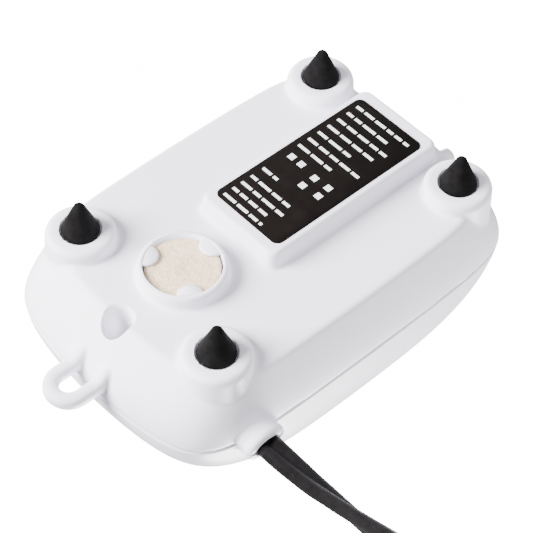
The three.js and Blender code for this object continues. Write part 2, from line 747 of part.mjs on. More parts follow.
/** A rubber flap over a port; it hangs from the edge above the port. */
const flap = (x0, z) => block(x0, x0 + 0.4, diaphragmY - 2.4, diaphragmY + 2.4, z - 2.4, z + 3.4);
piece("inlet_flap", flap(plate.x0 - gap - 0.4, portZ[0]), rubber);
piece("outlet_flap", flap(plate.x1 + gap, portZ[1]), rubber);

const pocket = (x0, x1, z, reach) =>
  solid(block(x0, x1, diaphragmY - reach, diaphragmY + reach, z - 3.2, z + 3.9));
const sealWindows = portZ.map((z) => pocket(sealFace.x0 - 1, sealFace.x1 + 1, z, 4));
piece("head_gasket", headPlate(sealFace.x0, sealFace.x1, ...sealWindows), silicone);

const spigot = { x1: cover.x1 + 4, outer: 1.9, bore: 1.2 };
const spigotRod = solid(
  alongX(rod(spigot.outer, cover.x1 - 1, spigot.x1, 16)).translate(0, diaphragmY, portZ[1]),
);
const coverPockets = portZ.map((z) => pocket(cover.x0 - 1, cover.x0 + 4, z, 4));
const coverBody = join(headPlate(cover.x0, cover.x1, ...coverPockets), spigotRod);
piece("head_cover", cut(coverBody, port(portZ[1], spigot.bore).intersect(
  solid(block(cover.x0, 60, -30, 30, 0, 60))), port(portZ[0], 1.6).intersect(
  solid(block(cover.x0, 60, -30, 30, 0, 60)))), nylon);

headScrewAt.forEach(([y, z], i) => {
  const headScrew = piece(`head_screw_${i + 1}`, screw(2, 1.3, 1, 17), steel);
  headScrew.rotation.y = -Math.PI / 2;
  headScrew.position.set(cover.x1 + gap + 1.3, y, z);
});

// ---------------------------------------------------------------- air outlet
const outletTube = turned([
  [nozzle.bore, nozzle.rootX],
  [nozzle.barb - 0.2, nozzle.rootX],
  [nozzle.barb, nozzle.hoseX],
  [nozzle.neck, nozzle.hoseX],
  [nozzle.neck, nozzle.shoulderX - 1.4],
  [nozzle.shoulder, nozzle.shoulderX - 1.4],
  [nozzle.shoulder, nozzle.shoulderX],
  [nozzle.barb, nozzle.shoulderX],
  [nozzle.barb, nozzle.tipX - 3.2],
  [nozzle.barb + 0.4, nozzle.tipX - 2.8],
  [nozzle.barb - 0.1, nozzle.tipX],
  [nozzle.bore, nozzle.tipX],
  [nozzle.bore, nozzle.rootX],
], 16);
piece("outlet_nozzle", alongX(outletTube), whitePlastic).position.z = outletZ;

/** The soft hose inside, from the pump head's spigot to the outlet nozzle. */
function airHose() {
  const path = new THREE.CubicBezierCurve3(
    new THREE.Vector3(cover.x1 + gap, diaphragmY, portZ[1]),
    new THREE.Vector3(spigot.x1 + 5, diaphragmY, portZ[1]),
    new THREE.Vector3(36, 0, outletZ),
    new THREE.Vector3(nozzle.hoseX - gap, 0, outletZ),
  );
  const section = new THREE.Shape();
  section.absarc(0, 0, 3, 0, 2 * Math.PI);
  const bore = new THREE.Path();
  bore.absarc(0, 0, nozzle.barb + 0.5, 0, 2 * Math.PI, true);
  section.holes.push(bore);
  const options = { steps: 9, bevelEnabled: false, extrudePath: path, curveSegments: 6 };
  return new THREE.ExtrudeGeometry(section, options);
}

piece("air_hose", airHose(), silicone);

// ---------------------------------------------------------------- mains cord
// The free cord and what is on it, in the frame of the whole part: the table is z = 0.
const whole = new THREE.Group();
whole.add(pump);

/** Moves the piece made last from the pump's group to the whole part's. */
function freePiece(name, shape, material) {
  const mesh = piece(name, shape, material);
  whole.add(mesh);
  return mesh;
}

/** The way the cord falls from the collar to the table and on towards its coil. */
const cordRoute = [
  [-30.25, 33.2, 24], [-30.25, 37, 24], [-30.25, 41, 23.8], [-30.4, 46.2, 23.1],
  [-30.7, 52.7, 21.4], [-31.1, 58, 19.7], [-31.6, 63.5, 17.4], [-32.1, 69, 14.8],
  [-32.7, 75, 11.6], [-33.2, 80, 8.7],
];
/** The cord's end, from the top of the coil down to the plug. */
const tailRoute = [
  [-108.6, 79.6, 5.4], [-107.6, 72, 3.6], [-105.4, 63, 3], [-102, 54, 3.3],
  [-99, 48, 4.8], [-97.3, 42.5, 6.3], [-97, 39.5, 6.8], [-97, 36.5, 6.85],
];

const cordTube = (route) => lead(route, cordWidth / 2, 2 * route.length, 8);
freePiece("mains_cord", cordTube(cordRoute), blackPvc);
freePiece("cord_tail", cordTube(tailRoute), blackPvc);

// Six turns: three beside each other and two high, around an axis at the coil's middle.
const coil = { x: -71.5, y: 101, inner: 22.6, outer: 39.8, z0: 0.9, z1: 12.4 };
const coilRing = turned([
  [coil.inner, coil.z0],
  [coil.outer - 1, coil.z0],
  [coil.outer, coil.z0 + 1.5],
  [coil.outer, coil.z1 - 1.5],
  [coil.outer - 1, coil.z1],
  [coil.inner, coil.z1],
  [coil.inner, coil.z0],
], 36);
freePiece("cord_coil", coilRing, blackPvc).position.set(coil.x, coil.y, 0);

/** The tie round the coil: a flat band, in the frame of the coil's axis. */
function coilTie() {
  const bandWidth = 4;
  const bandThick = 0.5;
  const hole = { x0: coil.inner - gap, x1: coil.outer + gap, z0: coil.z0 - gap, z1: coil.z1 + gap };
  const outside = block(
    hole.x0 - bandThick, hole.x1 + bandThick, -bandWidth / 2, bandWidth / 2,
    hole.z0 - bandThick, hole.z1 + bandThick,
  );
  return cut(solid(outside), solid(block(hole.x0, hole.x1, -5, 5, hole.z0, hole.z1)));
}

const tie = freePiece("coil_tie", coilTie(), paint(0x202022, 0.6));
tie.position.set(coil.x, coil.y, 0);
tie.rotation.z = THREE.MathUtils.degToRad(60);

// ---------------------------------------------------------------- plug
// A flat two-pin plug that lies on the table, pins towards -Y.
const plug = { x: -97, neckY: 36, faceY: -8, halfWidth: 17.6, thick: 13.7, pinSpan: 18.6 };
const plugZ = plug.thick / 2;

function plugBody() {
  const edge = 1.2;
  const half = plug.halfWidth - edge;
  const shape = new THREE.Shape();
  shape.moveTo(plug.x - 3, plug.neckY - edge);
  shape.lineTo(plug.x - 4.6, plug.neckY - 12);
  shape.quadraticCurveTo(plug.x - 6, plug.neckY - 20, plug.x - half, plug.faceY + 14);
  shape.lineTo(plug.x - half + 0.6, plug.faceY + edge);
  shape.lineTo(plug.x + half - 0.6, plug.faceY + edge);
  shape.lineTo(plug.x + half, plug.faceY + 14);
  shape.quadraticCurveTo(plug.x + 6, plug.neckY - 20, plug.x + 4.6, plug.neckY - 12);
  shape.lineTo(plug.x + 3, plug.neckY - edge);
  shape.closePath();
  const options = { depth: plug.thick - 2 * edge, bevelThickness: edge, bevelSize: edge };
  const body = new THREE.ExtrudeGeometry(shape, { ...options, bevelSegments: 2, curveSegments: 5 });
  return body.translate(0, 0, edge);
}

freePiece("plug_body", plugBody(), blackPvc);
[-1, 1].forEach((side, i) => {
  const pinRadius = 2;
  const pinLength = 19;
  const pin = turned([
    [0, 0],
    [pinRadius - 0.6, 0],
    [pinRadius, 1],
    [pinRadius, pinLength - gap],
    [0, pinLength - gap],
  ], 14);
  const mesh = freePiece(`plug_pin_${i + 1}`, alongY(pin), brass);
  mesh.position.set(plug.x + (side * plug.pinSpan) / 2, plug.faceY - pinLength, plugZ);
});

export default whole;
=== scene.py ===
"""A small white aquarium air pump seen from below, with its twin mains cord coiled beside it.

Shapes are written in millimetres in the pump's own frame: the middle of the four feet is x = y = 0,
the table is z = 0, +X points to the air outlet and +Y to the side the cord leaves. `in_row` turns
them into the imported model's frame, in metres.
"""
import json
import math
import bpy
import numpy as np
from mathutils import Matrix, Vector


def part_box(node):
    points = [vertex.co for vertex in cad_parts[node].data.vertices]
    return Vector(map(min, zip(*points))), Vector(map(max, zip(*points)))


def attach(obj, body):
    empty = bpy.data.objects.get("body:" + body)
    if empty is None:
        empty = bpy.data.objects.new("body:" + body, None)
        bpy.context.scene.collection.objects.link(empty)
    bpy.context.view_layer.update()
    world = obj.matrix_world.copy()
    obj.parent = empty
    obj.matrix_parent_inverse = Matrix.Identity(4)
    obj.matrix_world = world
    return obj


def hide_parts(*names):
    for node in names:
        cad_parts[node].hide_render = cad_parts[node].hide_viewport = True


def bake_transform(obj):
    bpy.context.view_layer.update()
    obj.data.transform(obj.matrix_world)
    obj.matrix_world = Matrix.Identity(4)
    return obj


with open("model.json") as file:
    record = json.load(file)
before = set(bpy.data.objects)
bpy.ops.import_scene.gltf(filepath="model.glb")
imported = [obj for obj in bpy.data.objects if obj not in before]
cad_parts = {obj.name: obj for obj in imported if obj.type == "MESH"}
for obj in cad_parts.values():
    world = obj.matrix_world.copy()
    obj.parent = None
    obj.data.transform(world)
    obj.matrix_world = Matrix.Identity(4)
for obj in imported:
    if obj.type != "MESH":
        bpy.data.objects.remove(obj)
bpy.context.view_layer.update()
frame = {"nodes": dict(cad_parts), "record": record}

MM = 0.001


def middle(node):
    low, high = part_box(node)
    return (low + high) / 2


FEET = [middle(f"foot_{i}") for i in (1, 2, 3, 4)]
PUMP = np.array([sum(f.x for f in FEET) / 4, sum(f.y for f in FEET) / 4, 0.0])


def in_row(points):
    """Points in millimetres in the pump's frame, as metres in the row frame."""
    return np.asarray(points, float) * MM + PUMP


def in_pump(points):
    """Points in millimetres in the row frame, as millimetres in the pump's frame."""
    return np.asarray(points, float) - PUMP / MM


def around(count):
    """Evenly spaced angles all the way round."""
    return np.linspace(0, 2 * math.pi, count, endpoint=False)


def squared_circle(count, square):
    """x and y round a unit circle pushed out towards a square, more so for a higher power."""
    c, s = np.cos(around(count)), np.sin(around(count))
    reach = (np.abs(c) ** square + np.abs(s) ** square) ** (-1 / square)
    return c * reach, s * reach


def ease(value):
    """A smooth step from 0 to 1."""
    value = min(1.0, max(0.0, value))
    return value * value * (3 - 2 * value)


# ---------------------------------------------------------------- camera
def aim_camera():
    """A long lens below the pump, looking up at its underside from the cord's side."""
    data = bpy.data.cameras.new("camera")
    data.lens = 127.0
    data.sensor_width = 36.0
    data.clip_start = 0.01
    camera = bpy.data.objects.new("camera", data)
    bpy.context.scene.collection.objects.link(camera)
    right = Vector((0.7366, 0.6757, -0.0288)).normalized()
    back = Vector((-0.4493, 0.4571, -0.7676)).normalized()
    up = back.cross(right)
    turn = Matrix((right, up, back)).transposed().to_4x4()
    camera.matrix_world = Matrix.Translation(in_row((-177.39, 179.65, -275.68))) @ turn
    bpy.context.scene.camera = camera


aim_camera()

# ---------------------------------------------------------------- mesh tools


def add_mesh(name, points, faces):
    """A smooth-shaded mesh object from points in the pump's frame."""
    mesh = bpy.data.meshes.new(name)
    mesh.from_pydata(in_row(points).tolist(), [], faces)
    mesh.shade_smooth()
    obj = bpy.data.objects.new(name, mesh)
    bpy.context.scene.collection.objects.link(obj)
    return obj


def skin(name, rings, looped=False):
    """A closed surface over rings of points, from the first to the last or all the way round."""
    rings = np.asarray(rings, float)
    count, sides, _ = rings.shape
    spans = count if looped else count - 1
    faces = [
        (i * sides + j, i * sides + (j + 1) % sides,
         (i + 1) % count * sides + (j + 1) % sides, (i + 1) % count * sides + j)
        for i in range(spans)
        for j in range(sides)
    ]
    if not looped:
        faces.append(tuple(reversed(range(sides))))
        faces.append(tuple(range((count - 1) * sides, count * sides)))
    return add_mesh(name, rings.reshape(-1, 3), faces)


AXES = {"x": (1, 2, 0), "y": (2, 0, 1), "z": (0, 1, 2)}


def turned(name, profile, at=(0, 0, 0), sides=72, axis="z", looped=False):
    """A turned piece: the profile is (radius, height) pairs, going outwards and then up."""
    angles = around(sides)
    across, over, along = AXES[axis]
    rings = np.zeros((len(profile), sides, 3))
    for ring, (radius, height) in zip(rings, profile):
        ring[:, across] = max(radius, 0.01) * np.cos(angles)
        ring[:, over] = max(radius, 0.01) * np.sin(angles)
        ring[:, along] = height
    return skin(name, rings + np.array(at, float), looped)


def slab(name, outline, z0, z1):
    """A flat plate between two heights from a counter-clockwise outline."""
    outline = np.asarray(outline, float)
    rings = [np.column_stack([outline, np.full(len(outline), z)]) for z in (z0, z1)]
    return skin(name, rings)


def block(name, low, high):
    """A plain box between two corners."""
    (x0, y0, z0), (x1, y1, z1) = low, high
    return slab(name, [(x0, y0), (x1, y0), (x1, y1), (x0, y1)], z0, z1)


def rounded_rectangle(half_x, half_y, radius, steps=10):
    """A rectangle's outline with an arc at each corner."""
    points = []
    for quarter, (sx, sy) in enumerate([(1, 1), (-1, 1), (-1, -1), (1, -1)]):
        for step in range(steps + 1):
            angle = (quarter + step / steps) * math.pi / 2
            points.append((sx * (half_x - radius) + radius * math.cos(angle),
                           sy * (half_y - radius) + radius * math.sin(angle)))
    return points


def rounded_block(name, size, levels):
    """A block with rounded corners: levels are (height, reach past its size, corner radius)."""
    half_x = (size["x1"] - size["x0"]) / 2
    centre = (size["x1"] + size["x0"]) / 2
    rings = []
    for z, out, radius in levels:
        corners = np.array(rounded_rectangle(half_x + out, size["half_y"] + out, radius))
        x, y = corners[:, 0] + centre, corners[:, 1]
        rings.append(np.column_stack([x, y, np.full(len(corners), z)]))
    return skin(name, rings)


def bake(obj):
    """Applies the object's modifiers to its mesh."""
    bpy.context.view_layer.update()
    evaluated = obj.evaluated_get(bpy.context.evaluated_depsgraph_get())
    mesh = bpy.data.meshes.new_from_object(evaluated)
    obj.modifiers.clear()
    obj.data = mesh
    return obj


def combine(target, operation, tools):
    """Joins tools to the target, cuts them from it or keeps what they share with it."""
    for tool in tools:
        modifier = target.modifiers.new(tool.name, "BOOLEAN")
        modifier.operation = operation
        modifier.solver = "MANIFOLD"
        modifier.object = tool
    bake(target)
    for tool in tools:
        bpy.data.objects.remove(tool)
    return target


def mould(obj, grain, rounding):
    """Rebuilds a solid as one even skin with its edges and inner corners rounded, as if moulded."""
    remesh = obj.modifiers.new("skin", "REMESH")
    remesh.mode = "VOXEL"
    remesh.voxel_size = grain * MM
    smooth = obj.modifiers.new("round", "SMOOTH")
    smooth.factor = 0.5
    smooth.iterations = rounding
    bake(obj)
    obj.data.shade_smooth()
    return obj


def settle(obj, material, slot, *nodes, body="housing"):
    """Paints a finished piece, fixes it to its body and hides the CAD nodes it stands for."""
    obj.data.materials.clear()
    obj.data.materials.append(material)
    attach(obj, body)
    if nodes:
        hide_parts(*nodes)
    return obj


# ---------------------------------------------------------------- materials
def painted(name, **sockets):
    """A material whose shader has these values, and its node tree."""
    material = bpy.data.materials.new(name)
    material.use_nodes = True
    shader = material.node_tree.nodes["Principled BSDF"]
    for socket, value in sockets.items():
        shader.inputs[socket.replace("_", " ").title().replace("Ior", "IOR")].default_value = value
    return material, material.node_tree, shader


def texture(tree, kind, **settings):
    """A texture node over the piece's own coordinates, in metres."""
    node = tree.nodes.new(f"ShaderNodeTex{kind}")
    place = tree.nodes.get("place") or tree.nodes.new("ShaderNodeTexCoord")
    place.name = "place"
    tree.links.new(place.outputs["Object"], node.inputs["Vector"])
    for key, value in settings.items():
        if key in node.inputs:
            node.inputs[key].default_value = value
        else:
            setattr(node, key, value)
    return node.outputs["Fac"] if "Fac" in node.outputs else node.outputs["Distance"]


def shades(tree, factor, stops):
    """A colour ramp: stops are (place, grey or colour) pairs."""
    ramp = tree.nodes.new("ShaderNodeValToRGB")
    ramp.color_ramp.elements.new(0.5)
    while len(ramp.color_ramp.elements) > len(stops):
        ramp.color_ramp.elements.remove(ramp.color_ramp.elements[-1])
    for element, (place, colour) in zip(ramp.color_ramp.elements, stops):
        grey = isinstance(colour, (int, float))
        element.position = place
        element.color = (colour, colour, colour, 1) if grey else (*colour, 1)
    tree.links.new(factor, ramp.inputs["Fac"])
    return ramp.outputs["Color"]


def relief(tree, shader, heights):
    """Bumps of several sizes: heights are (texture, depth in millimetres, strength)."""
    below = None
    for height, depth, strength in heights:
        bump = tree.nodes.new("ShaderNodeBump")
        bump.inputs["Distance"].default_value = depth * MM
        bump.inputs["Strength"].default_value = strength
        tree.links.new(height, bump.inputs["Height"])
        if below:
            tree.links.new(below, bump.inputs["Normal"])
        below = bump.outputs["Normal"]
    tree.links.new(below, shader.inputs["Normal"])


def surface(name, colours, roughness, size, grain, depth=0.02, strength=0.3, **sockets):
    """A material with drifting colour, varied roughness and a fine grain, for plain pieces."""
    material, tree, shader = painted(name, **sockets)
    drift = texture(tree, "Noise", Scale=size, Detail=4.0, Roughness=0.6)
    fine = texture(tree, "Noise", Scale=grain, Detail=3.0, Roughness=0.65)
    colour = shades(tree, drift, [(0.3, colours[0]), (0.7, colours[1])])
    tree.links.new(colour, shader.inputs["Base Color"])
    dullness = shades(tree, drift, [(0.3, roughness[0]), (0.7, roughness[1])])
    tree.links.new(dullness, shader.inputs["Roughness"])
    relief(tree, shader, [(fine, depth, strength)])
    return material


def white_plastic():
    """Injection-moulded white ABS: a fine grain, a little orange peel and faint wear in its gloss."""
    material, tree, shader = painted("white_plastic", ior=1.52)
    drift = texture(tree, "Noise", Scale=55.0, Detail=5.0, Roughness=0.6)
    wear = texture(tree, "Noise", Scale=420.0, Detail=6.0, Roughness=0.7)
    grain = texture(tree, "Noise", Scale=2600.0, Detail=2.0)
    whites = [(0.3, (0.735, 0.715, 0.79)), (0.7, (0.765, 0.745, 0.82))]
    tree.links.new(shades(tree, drift, whites), shader.inputs["Base Color"])
    tree.links.new(shades(tree, wear, [(0.3, 0.3), (0.7, 0.4)]), shader.inputs["Roughness"])
    relief(tree, shader, [(drift, 0.06, 0.2), (wear, 0.008, 0.2), (grain, 0.01, 0.15)])
    return material


def felt_cloth():
    """Pressed cream felt: matted fibres in warm and pale patches."""
    material, tree, shader = painted("felt", roughness=0.95, sheen_weight=0.25)
    patches = texture(tree, "Noise", Scale=1300.0, Detail=6.0, Roughness=0.75, Distortion=1.2)
    fibres = texture(tree, "Noise", Scale=3800.0, Detail=8.0, Roughness=0.8, Distortion=2.5)
    creams = [(0.32, (0.56, 0.37, 0.21)), (0.5, (0.76, 0.58, 0.40)), (0.68, (0.90, 0.77, 0.60))]
    tree.links.new(shades(tree, patches, creams), shader.inputs["Base Color"])
    relief(tree, shader, [(patches, 0.25, 0.7), (fibres, 0.12, 0.8)])
    return material


def banded(name, colours, roughness, bands_per_mm, direction, depth, **sockets):
    """A material in fine parallel bands, for wound wire, stacked sheets and turned metal."""
    material, tree, shader = painted(name, **sockets)
    scale = bands_per_mm / MM / (2 * math.pi)
    bands = texture(tree, "Wave", Scale=scale, Distortion=0.4, bands_direction=direction)
    drift = texture(tree, "Noise", Scale=500.0, Detail=4.0)
    mix = tree.nodes.new("ShaderNodeMath")
    mix.operation = "MULTIPLY"
    tree.links.new(bands, mix.inputs[0])
    tree.links.new(drift, mix.inputs[1])
    colour = shades(tree, mix.outputs[0], [(0.05, colours[0]), (0.6, colours[1])])
    tree.links.new(colour, shader.inputs["Base Color"])
    dullness = shades(tree, drift, [(0.3, roughness[0]), (0.7, roughness[1])])
    tree.links.new(dullness, shader.inputs["Roughness"])
    relief(tree, shader, [(bands, depth, 0.8), (drift, 0.01, 0.2)])
    return material


SLOTS = {
    "white_plastic": white_plastic(),
    "foot_rubber": surface("foot_rubber", [(0.0035, 0.0033, 0.0034), (0.0075, 0.0070, 0.0072)], (0.6, 0.78),
                           500.0, 3200.0, depth=0.03, strength=0.5, specular_ior_level=0.05),
    "felt": felt_cloth(),
    "label": surface("label", [(0.0040, 0.0032, 0.0030), (0.0062, 0.0050, 0.0046)], (0.42, 0.55),
                     260.0, 3000.0, depth=0.006, strength=0.3, specular_ior_level=0.04),
    "steel_screws": surface("zinc_plate", [(0.42, 0.42, 0.43), (0.58, 0.58, 0.57)], (0.28, 0.45),
                            700.0, 3500.0, metallic=1.0),
    "inner_plastic": surface("natural_nylon", [(0.60, 0.58, 0.52), (0.70, 0.68, 0.62)], (0.4, 0.55),
                             120.0, 1800.0),
    "black_pvc": surface("black_pvc", [(0.0040, 0.0036, 0.0038), (0.0080, 0.0072, 0.0076)], (0.34, 0.46),
                         350.0, 1500.0, depth=0.02, strength=0.25, specular_ior_level=0.13),
    "tie": surface("tie_plastic", [(0.010, 0.010, 0.011), (0.017, 0.017, 0.018)], (0.5, 0.65),
                   400.0, 2500.0, specular_ior_level=0.15),
    "copper": surface("tinned_copper", [(0.50, 0.34, 0.22), (0.64, 0.45, 0.32)], (0.3, 0.45),
                      600.0, 2500.0, metallic=1.0),
    "lead_insulation": surface("lead_insulation", [(0.02, 0.02, 0.024), (0.035, 0.035, 0.04)],
                               (0.4, 0.55), 400.0, 2400.0),
    "core_laminations": banded("core_laminations", [(0.05, 0.052, 0.055), (0.16, 0.165, 0.17)],
                               (0.35, 0.55), 2.0, "Z", 0.08, metallic=0.8),
    "enamelled_copper": banded("enamelled_copper", [(0.16, 0.05, 0.02), (0.62, 0.26, 0.11)],
                               (0.22, 0.35), 4.0, "Y", 0.06, metallic=0.7),
    "winding_tape": surface("winding_tape", [(0.55, 0.38, 0.06), (0.68, 0.50, 0.12)], (0.25, 0.4),
                            300.0, 2600.0),
    "ferrite": surface("ferrite", [(0.03, 0.03, 0.032), (0.06, 0.06, 0.064)], (0.5, 0.7), 600.0, 3000.0),
    "inner_rubber": surface("inner_rubber", [(0.02, 0.02, 0.021), (0.032, 0.032, 0.034)], (0.6, 0.75),
                            500.0, 2600.0),
    "silicone": surface("silicone", [(0.55, 0.60, 0.58), (0.66, 0.70, 0.69)], (0.35, 0.5), 300.0, 1500.0),
    "pins": surface("pin_metal", [(0.60, 0.52, 0.33), (0.68, 0.60, 0.42)], (0.18, 0.3), 500.0, 4000.0,
                    metallic=1.0),
}


def paint_cad_nodes():
    """Gives every CAD node the finish of its slot. Pieces made below replace some of them."""
    for part in frame["record"]["subparts"]:
        node = frame["nodes"][part["node"]]
        for i in range(len(node.material_slots)):
            node.material_slots[i].material = SLOTS[part["material_slot"]]


paint_cad_nodes()

# ---------------------------------------------------------------- mains cord
CORD_WIDTH = 5.6
CORD_THICK = 2.9
CORD_X = -32.0
# the cord lies flat where it leaves the collar, and has turned on edge after this run
TURN_START, TURN_RUN = -4.0, 46.0
# both ways and the coil are in the row frame in millimetres, as in the CAD
CORD_ROUTE = [
    (-30.25, 33.2, 24), (-30.25, 37, 24), (-30.25, 41, 23.8), (-30.4, 46.2, 23.1),
    (-30.7, 52.7, 21.4), (-31.1, 58, 19.7), (-31.6, 63.5, 17.4), (-32.1, 69, 14.8),
    (-32.7, 75, 11.6), (-33.2, 80, 8.7), (-33.8, 86, 5.9), (-34.3, 93, 3.9),
]
TAIL_ROUTE = [
    (-108.5, 92, 8.2), (-108.6, 85, 6.8), (-108.4, 78, 5), (-107.4, 71, 3.5), (-105.4, 63, 3),
    (-102, 54, 3.3), (-99, 48, 4.8), (-97.3, 42.5, 6.3), (-97, 39.5, 6.8), (-97, 36.5, 6.85),
    (-97, 33, 6.85),
]
COIL = {"x": -71.5, "y": 101.0, "radii": (36.9, 31.2, 25.5), "low": 3.1, "high": 8.9}
TIE_ANGLE = math.radians(60)
TURNS = 5.5
TURN_POINTS = 24
CROSSING = 0.25


def coil_points():
    """Three turns inwards along the table, then two and a half outwards on top of them."""
    inwards = list(COIL["radii"])
    rows = inwards + inwards[::-1] + inwards[:1]
    points = []
    last = int(TURNS)
    for step in range(int(TURNS * TURN_POINTS) + 1):
        turns = step / TURN_POINTS
        row = min(int(turns), last)
        # each turn moves across to the next in its last quarter, and the third climbs there too
        across = ease((turns - row - (1 - CROSSING)) / CROSSING) if row < last else 0.0
        radius = rows[row] + (rows[row + 1] - rows[row]) * across
        climb = ease((turns - (len(inwards) - CROSSING)) / CROSSING)
        angle = turns * 2 * math.pi
        from_tie = (angle - TIE_ANGLE + math.pi) % (2 * math.pi) - math.pi
        lift = 0.5 * math.exp(-from_tie ** 2 / 0.1)
        height = COIL["low"] + (COIL["high"] - COIL["low"]) * climb + lift
        x, y = radius * math.cos(angle), radius * math.sin(angle)
        points.append((COIL["x"] + x, COIL["y"] + y, height))
    return points


def distances(line):
    """How far along a line each of its points is."""
    return np.concatenate([[0], np.cumsum(np.linalg.norm(np.diff(line, axis=0), axis=1))])


def smooth_line(points, spacing=1.6):
    """Evenly spaced points on a Catmull-Rom line through the given ones, and the line's length."""
    points = np.asarray(points, float)
    padded = np.vstack([2 * points[0] - points[1], points, 2 * points[-1] - points[-2]])
    line = []
    for i in range(1, len(padded) - 2):
        a, b, c, d = padded[i - 1:i + 3]
        for t in np.linspace(0, 1, 12, endpoint=False):
            line.append(0.5 * (2 * b + (c - a) * t + (2 * a - 5 * b + 4 * c - d) * t ** 2
                               + (3 * b - a - 3 * c + d) * t ** 3))
    line = np.array(line + [points[-1]])
    along = distances(line)
    even = np.linspace(0, along[-1], int(along[-1] / spacing) + 1)
    return np.column_stack([np.interp(even, along, line[:, k]) for k in range(3)]), along[-1]


def twin_section():
    """The cord's outline: two round cores side by side with a groove between them."""
    core = CORD_THICK / 2
    middle_x = CORD_WIDTH / 2 - core
    angles = np.radians(np.linspace(-132, 132, 12))
    right = np.column_stack([middle_x + core * np.cos(angles), core * np.sin(angles)])
    groove = np.array([[0.0, 0.62 * core]])
    return np.vstack([right, groove, -right, -groove])


def cord_mesh(name, line):
    """The twin cord along a line: flat at the collar, turned edge-on as it falls, upright in its coil."""
    section = twin_section()
    ahead = np.gradient(line, axis=0)
    ahead /= np.linalg.norm(ahead, axis=1)[:, None]
    rings = []
    for point, tangent, run in zip(line, ahead, distances(line)):
        side = np.cross(tangent, (0, 0, 1))
        side /= np.linalg.norm(side)
        rise = np.cross(side, tangent)
        roll = math.radians(90 * ease((run - TURN_START) / TURN_RUN))
        wide = math.cos(roll) * side + math.sin(roll) * rise
        thin = -math.sin(roll) * side + math.cos(roll) * rise
        rings.append(point + section[:, :1] * wide + section[:, 1:] * thin)
    return skin(name, in_pump(rings)[:, ::-1])


def lay_cord():
    """The whole lead: the piece, its middle line and its length, both in metres."""
    line, length = smooth_line(CORD_ROUTE + coil_points() + TAIL_ROUTE)
    cord = cord_mesh("mains_lead", line)
    settle(cord, SLOTS["black_pvc"], "black_pvc", "mains_cord", "cord_coil", "cord_tail")
    return cord, line * MM, length * MM


cord, cord_line, cord_length = lay_cord()

# ---------------------------------------------------------------- plug and tie
# at distances from the plug's face: half its width, half its thickness and how square it is
PLUG_WIDTH = [(0, 15.9), (0.2, 16.5), (1, 17.1), (3, 17.4), (10, 17.6), (13.5, 16.8), (17, 14.6),
              (22, 10.5), (28, 6.2), (33, 4.6), (43, 3.4), (44, 3.0)]
PLUG_THICKNESS = [(0, 6.2), (1, 6.8), (22, 6.85), (31, 4.6), (44, 3.2)]
PLUG_SQUARENESS = [(0, 6), (19, 5), (29, 2.6), (44, 2.2)]
RIBS_START, RIB_PITCH, RIB_DEPTH = 25, 3.2, 0.45


def along_plug(place, table):
    places, values = zip(*table)
    return np.interp(place, places, values)


def plug_body():
    """A flat two-pin plug, wide at its face and drawn in to a ribbed sleeve where the cord enters."""
    low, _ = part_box("plug_body")
    face = low.y / MM
    centre = np.array(middle("plug_body")) / MM
    rings = []
    for place in np.concatenate([[0, 0.2, 1.0], np.linspace(1.6, 43.9, 90)]):
        wave = math.sin((place - RIBS_START) * 2 * math.pi / RIB_PITCH)
        groove = RIB_DEPTH if place > RIBS_START and wave > 0.45 else 0.0
        half = along_plug(place, PLUG_WIDTH) - groove
        thick = along_plug(place, PLUG_THICKNESS) - groove
        x, z = squared_circle(64, along_plug(place, PLUG_SQUARENESS))
        y = np.full(64, face + place)
        rings.append(np.column_stack([centre[0] + half * x, y, centre[2] + thick * z]))
    plug = skin("mains_plug", in_pump(rings)[:, ::-1])
    return settle(plug, SLOTS["black_pvc"], "black_pvc", "plug_body")


plug = plug_body()


TIE = {"out": 38.95, "inner": 23.4, "low": 0.15, "high": 12.6, "half_width": 1.6, "half_thick": 0.28}


def lay_tie():
    """A flat plastic tie round the coil: an upright loop with cut corners, at one angle of it."""
    out, inner, low, high = TIE["out"], TIE["inner"], TIE["low"], TIE["high"]
    cut_r, cut_z = 1.3, 1.8
    corners = [(out - cut_r, low), (out, cut_z), (out, high - cut_z), (out - cut_r, high),
               (inner + cut_r, high), (inner, high - cut_z), (inner, cut_z), (inner + cut_r, low)]
    path, _ = smooth_line([(r, z, 0) for r, z in corners + corners[:1]], spacing=0.8)
    path = path[:-1]
    ahead = np.roll(path, -1, axis=0) - np.roll(path, 1, axis=0)
    along = np.array([math.cos(TIE_ANGLE), math.sin(TIE_ANGLE), 0])
    beside = np.array([-math.sin(TIE_ANGLE), math.cos(TIE_ANGLE), 0])
    up = np.array([0, 0, 1.0])
    centre = np.array([COIL["x"], COIL["y"], 0.35])
    rings = []
    for (r, z, _), (dr, dz, _) in zip(path, ahead):
        length = math.hypot(dr, dz)
        outward = (dz / length) * along - (dr / length) * up
        spot = centre + r * along + z * up
        rings.append([spot + TIE["half_width"] * math.cos(a) * beside
                      + TIE["half_thick"] * math.sin(a) * outward for a in around(12)])
    tie = skin("cord_tie", in_pump(rings), looped=True)
    return settle(tie, SLOTS["tie"], "tie", "coil_tie")


tie = lay_tie()

# ---------------------------------------------------------------- housing outline
BODY_X = -1.0
HALF_LENGTH = 48.0
HALF_WIDTH = 31.5
PARTING_Z = 24.0
FLOOR_Z = 10.3
TOP_Z = 50.0
GAP = 0.3
WALL = 2.0
SQUARENESS = 8.0
END_BOW, SIDE_BOW = 0.09, 0.03
LEAN_X, LEAN_Y = 8.2, 3.4
CREASE = 0.8
SIDES = 320


def outline(half_x, half_y, square, z):
    """The housing's outline at a height: a rounded rectangle whose ends and sides bow outwards."""
    x, y = squared_circle(SIDES, square)
    ends = BODY_X + half_x * x * (1 - END_BOW * y ** 2)
    sides = half_y * y * (1 - SIDE_BOW * x ** 2)
    return np.column_stack([ends, sides, np.full(SIDES, z)])


